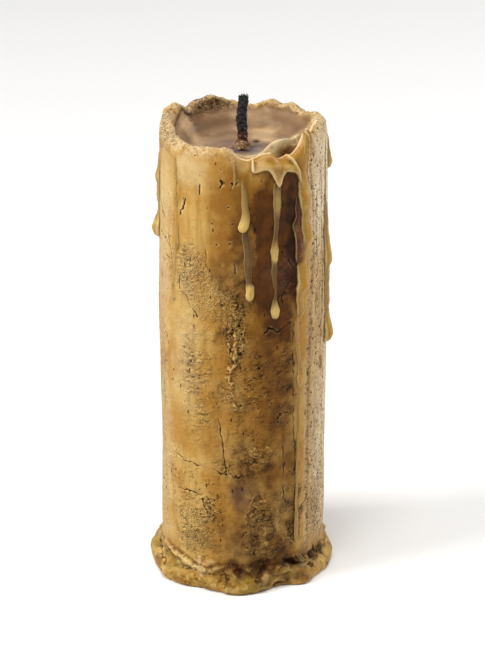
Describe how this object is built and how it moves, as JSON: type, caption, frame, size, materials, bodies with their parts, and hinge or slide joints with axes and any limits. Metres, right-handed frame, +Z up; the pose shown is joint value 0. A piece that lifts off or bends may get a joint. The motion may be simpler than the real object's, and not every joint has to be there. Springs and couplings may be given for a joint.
{
  "type": "melted pillar candle",
  "caption": "Half-burnt pillar candle with a torn rim, a sunken burn pool, runs of set wax down its wall, a spread foot and a charred wick.",
  "frame": {"origin": "middle of the underside, on the surface that the candle stands on", "axes": "+Z up along the candle; -Y is the front, where the rim is lowest and most runs hang; +X is to the right"},
  "size_m": [0.068, 0.0731, 0.1803],
  "materials": {
    "wax": "aged ochre beeswax, dull and pitted on the wall, glossy on the set runs",
    "char": "burnt braided cotton, matt"
  },
  "bodies": {
    "root": {"wax_body": "wax", "wick": "char"}
  },
  "joints": []
}
